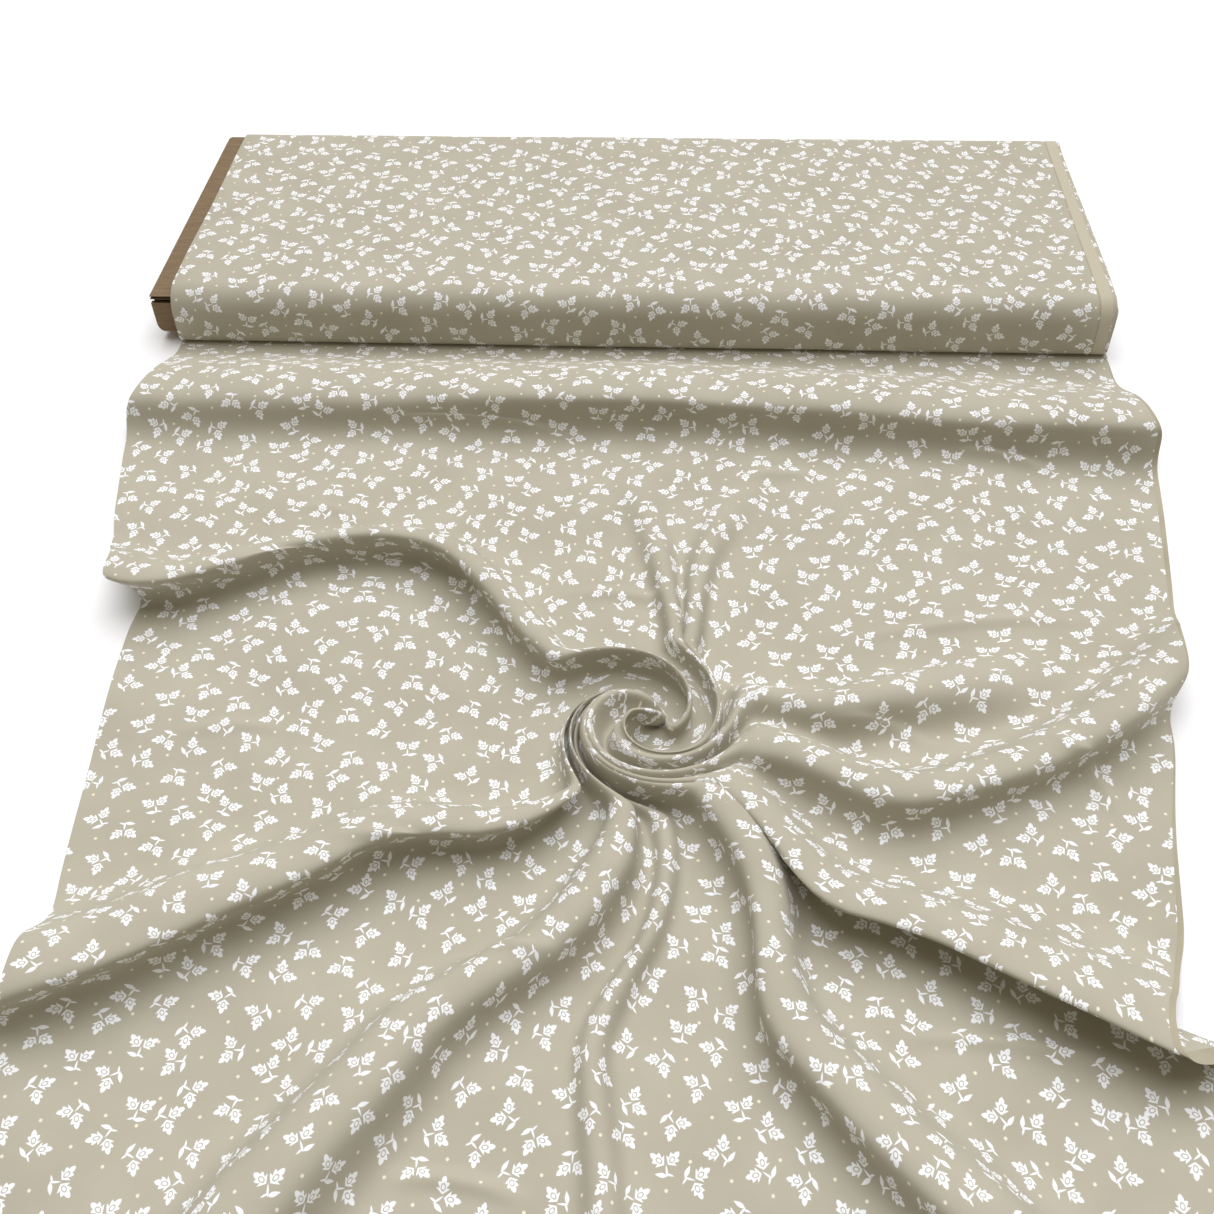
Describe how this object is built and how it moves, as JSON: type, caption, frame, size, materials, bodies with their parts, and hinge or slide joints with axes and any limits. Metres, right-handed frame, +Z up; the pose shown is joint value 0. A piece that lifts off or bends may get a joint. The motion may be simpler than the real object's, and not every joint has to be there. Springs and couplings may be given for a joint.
{
  "type": "fabric bolt",
  "caption": "Printed cotton doubled and wound on a flat folded cardboard board, its free length laid out in front in a hump and a twisted swirl of folds.",
  "frame": {"origin": "centre of the bolt's footprint, on the surface it lies on", "axes": "+Z up; X along the bolt's length, +X towards the selvages; +Y from the laid cloth towards the bolt's rear"},
  "size_m": [0.7817, 1.031, 0.048],
  "materials": {
    "printed_cotton": "matte",
    "kraft_card": "matte"
  },
  "bodies": {
    "laid_cloth": {"cloth_under_bolt": "printed_cotton", "laid_cloth_lower_layer": "printed_cotton", "laid_cloth_upper_layer": "printed_cotton"},
    "winding": {"wound_inner_turns": "printed_cotton", "wound_outer_turn": "printed_cotton"},
    "board": {"board_wrapper": "kraft_card", "board_centre_rib": "kraft_card"},
    "left_flap": {"board_left_end_flap": "kraft_card"},
    "right_flap": {"board_right_end_flap": "kraft_card"}
  },
  "joints": [
    {"name": "bolt_tip", "type": "hinge", "parent": "laid_cloth", "child": "winding", "pos_m": [0, 0.141, 0.001], "axis": [-1, 0, 0], "range_deg": [0, 90]},
    {"name": "board_slide", "type": "slide", "parent": "winding", "child": "board", "axis": [1, 0, 0], "range_m": [-0.3, 0.0175]},
    {"name": "left_flap_fold", "type": "hinge", "parent": "board", "child": "left_flap", "pos_m": [-0.3925, 0, 0.01015], "axis": [0, -1, 0], "range_deg": [0, 90]},
    {"name": "right_flap_fold", "type": "hinge", "parent": "board", "child": "right_flap", "pos_m": [0.3695, 0, 0.01015], "axis": [0, 1, 0], "range_deg": [0, 90]}
  ]
}
